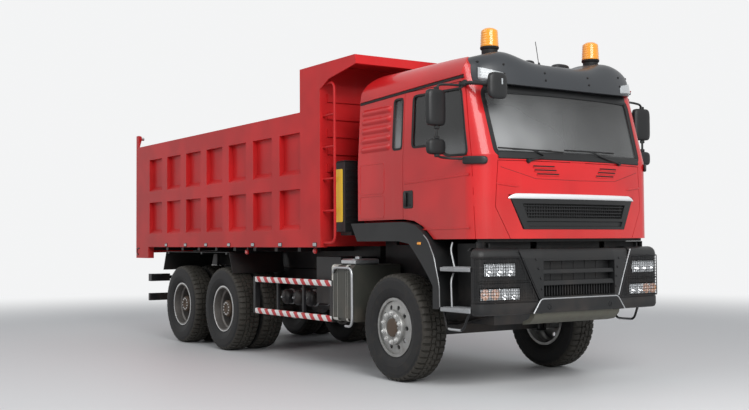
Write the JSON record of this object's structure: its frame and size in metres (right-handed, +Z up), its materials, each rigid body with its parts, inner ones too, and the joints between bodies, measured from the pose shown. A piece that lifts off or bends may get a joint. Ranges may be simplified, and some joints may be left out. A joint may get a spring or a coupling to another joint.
{
  "type": "dump truck",
  "caption": "Heavy forward-control dump truck: tilting cab, steered front axle, twin-wheel bogie, and a steel body raised by a telescopic cylinder.",
  "frame": {"origin": "on the ground under the middle of the truck's overall length and width", "axes": "+X forward, towards the cab; +Y to the truck's left; +Z up"},
  "size_m": [8.475, 2.99, 3.4548],
  "materials": {
    "chassis_paint": "satin black paint",
    "dark_steel": "dark grey paint",
    "engine_grey": "cast and painted grey",
    "black_plastic": "grained black plastic",
    "lamp_glass": "clear lens",
    "guard_paint": "white paint with red bands",
    "tank_steel": "silver frame about a dark case",
    "cab_paint": "glossy red paint",
    "glazing": "clear, slightly green",
    "seat_cloth": "dark cloth",
    "dash_plastic": "dark plastic",
    "beacon_lens": "amber lens",
    "body_paint": "red paint",
    "ladder_paint": "red paint",
    "hoist_paint": "black paint",
    "hoist_steel": "ground and plated",
    "wheel_silver": "silver paint",
    "tyre_rubber": "black rubber"
  },
  "bodies": {
    "chassis": {"frame": "chassis_paint", "front_axle": "chassis_paint", "rear_axles": "chassis_paint", "springs": "dark_steel", "engine": "engine_grey", "driveline": "engine_grey", "bumper": "black_plastic", "headlamps": "lamp_glass", "steps": "black_plastic", "fenders": "black_plastic", "rear_mudguards": "black_plastic", "side_guards": "guard_paint", "tanks": "tank_steel", "air_tanks": "chassis_paint", "battery_box": "dark_steel", "rear_underrun": "dark_steel", "air_duct": "black_plastic"},
    "cab": {"cab_floor": "cab_paint", "cab_back": "cab_paint", "cab_sides": "cab_paint", "cab_roof": "cab_paint", "cab_front": "cab_paint", "visor": "cab_paint", "cab_glass": "glazing", "seats": "seat_cloth", "dashboard": "dash_plastic", "beacons": "beacon_lens"},
    "right_door": {"door_right": "cab_paint", "door_glass_right": "glazing", "mirror_right": "black_plastic"},
    "left_door": {"door_left": "cab_paint", "door_glass_left": "glazing", "mirror_left": "black_plastic"},
    "flap": {"front_flap": "cab_paint", "grille": "black_plastic"},
    "tipping_body": {"bed_floor": "body_paint", "bed_sides": "body_paint", "bed_front": "body_paint", "bed_ladder": "ladder_paint"},
    "gate": {"tailgate": "body_paint"},
    "barrel": {"hoist_barrel": "hoist_paint"},
    "stage_1": {"hoist_stage_1": "hoist_steel"},
    "stage_2": {"hoist_stage_2": "hoist_steel"},
    "stage_3": {"hoist_stage_3": "hoist_steel"},
    "stage_4": {"hoist_stage_4": "hoist_steel"},
    "right_knuckle": {"knuckle_right": "chassis_paint"},
    "left_knuckle": {"knuckle_left": "chassis_paint"},
    "right_front_wheel": {"wheel_front_right": "wheel_silver", "tyre_front_right": "tyre_rubber"},
    "left_front_wheel": {"wheel_front_left": "wheel_silver", "tyre_front_left": "tyre_rubber"},
    "right_middle_twins": {"wheels_middle_right": "wheel_silver", "tyres_middle_right": "tyre_rubber"},
    "left_middle_twins": {"wheels_middle_left": "wheel_silver", "tyres_middle_left": "tyre_rubber"},
    "right_rear_twins": {"wheels_rear_right": "wheel_silver", "tyres_rear_right": "tyre_rubber"},
    "left_rear_twins": {"wheels_rear_left": "wheel_silver", "tyres_rear_left": "tyre_rubber"}
  },
  "joints": [
    {"name": "cab_tilt", "type": "hinge", "parent": "chassis", "child": "cab", "pos_m": [4.0275, 0, 1], "axis": [0, 1, 0], "range_deg": [0, 45]},
    {"name": "right_door_swing", "type": "hinge", "parent": "cab", "child": "right_door", "pos_m": [4.0025, -1.131, 2], "axis": [0, 0, 1], "range_deg": [0, 75]},
    {"name": "left_door_swing", "type": "hinge", "parent": "cab", "child": "left_door", "pos_m": [4.0025, 1.131, 2], "axis": [0, 0, -1], "range_deg": [0, 75]},
    {"name": "flap_lift", "type": "hinge", "parent": "cab", "child": "flap", "pos_m": [4.2175, 0, 2.146], "axis": [0, -1, 0], "range_deg": [0, 75]},
    {"name": "body_tip", "type": "hinge", "parent": "chassis", "child": "tipping_body", "pos_m": [-3.6525, 0, 1.17], "axis": [0, -1, 0], "range_deg": [0, 48]},
    {"name": "gate_swing", "type": "hinge", "parent": "tipping_body", "child": "gate", "pos_m": [-4.1125, 0, 3.04], "axis": [0, 1, 0], "range_deg": [0, 65]},
    {"name": "hoist_swing", "type": "hinge", "parent": "chassis", "child": "barrel", "pos_m": [1.8975, 0, 1.1], "axis": [0, -1, 0], "range_deg": [0, 24]},
    {"name": "hoist_slide_1", "type": "slide", "parent": "barrel", "child": "stage_1", "axis": [-0.1181, 0, 0.993], "range_m": [0, 1.088]},
    {"name": "hoist_slide_2", "type": "slide", "parent": "stage_1", "child": "stage_2", "axis": [-0.1181, 0, 0.993], "range_m": [0, 1.088]},
    {"name": "hoist_slide_3", "type": "slide", "parent": "stage_2", "child": "stage_3", "axis": [-0.1181, 0, 0.993], "range_m": [0, 1.088]},
    {"name": "hoist_slide_4", "type": "slide", "parent": "stage_3", "child": "stage_4", "axis": [-0.1181, 0, 0.993], "range_m": [0, 1.088]},
    {"name": "right_steer", "type": "hinge", "parent": "chassis", "child": "right_knuckle", "pos_m": [2.7475, -0.8, 0.5425], "axis": [0, 0, 1], "range_deg": [-38, 38]},
    {"name": "right_front_roll", "type": "hinge", "parent": "right_knuckle", "child": "right_front_wheel", "pos_m": [2.7475, -1.011, 0.5425], "axis": [0, 1, 0], "continuous": true},
    {"name": "left_steer", "type": "hinge", "parent": "chassis", "child": "left_knuckle", "pos_m": [2.7475, 0.8, 0.5425], "axis": [0, 0, 1], "range_deg": [-38, 38]},
    {"name": "left_front_roll", "type": "hinge", "parent": "left_knuckle", "child": "left_front_wheel", "pos_m": [2.7475, 1.011, 0.5425], "axis": [0, 1, 0], "continuous": true},
    {"name": "right_middle_roll", "type": "hinge", "parent": "chassis", "child": "right_middle_twins", "pos_m": [-1.0775, -0.915, 0.5425], "axis": [0, 1, 0], "continuous": true},
    {"name": "left_middle_roll", "type": "hinge", "parent": "chassis", "child": "left_middle_twins", "pos_m": [-1.0775, 0.915, 0.5425], "axis": [0, 1, 0], "continuous": true},
    {"name": "right_rear_roll", "type": "hinge", "parent": "chassis", "child": "right_rear_twins", "pos_m": [-2.4275, -0.915, 0.5425], "axis": [0, 1, 0], "continuous": true},
    {"name": "left_rear_roll", "type": "hinge", "parent": "chassis", "child": "left_rear_twins", "pos_m": [-2.4275, 0.915, 0.5425], "axis": [0, 1, 0], "continuous": true}
  ],
  "couplings": [
    {"joint": "hoist_swing", "follows": "body_tip", "ratio": 0.5},
    {"joint": "hoist_slide_1", "follows": "body_tip", "m_per_rad": 1.2987},
    {"joint": "hoist_slide_2", "follows": "body_tip", "m_per_rad": 1.2987},
    {"joint": "hoist_slide_3", "follows": "body_tip", "m_per_rad": 1.2987},
    {"joint": "hoist_slide_4", "follows": "body_tip", "m_per_rad": 1.2987},
    {"joint": "left_steer", "follows": "right_steer", "ratio": 1}
  ]
}
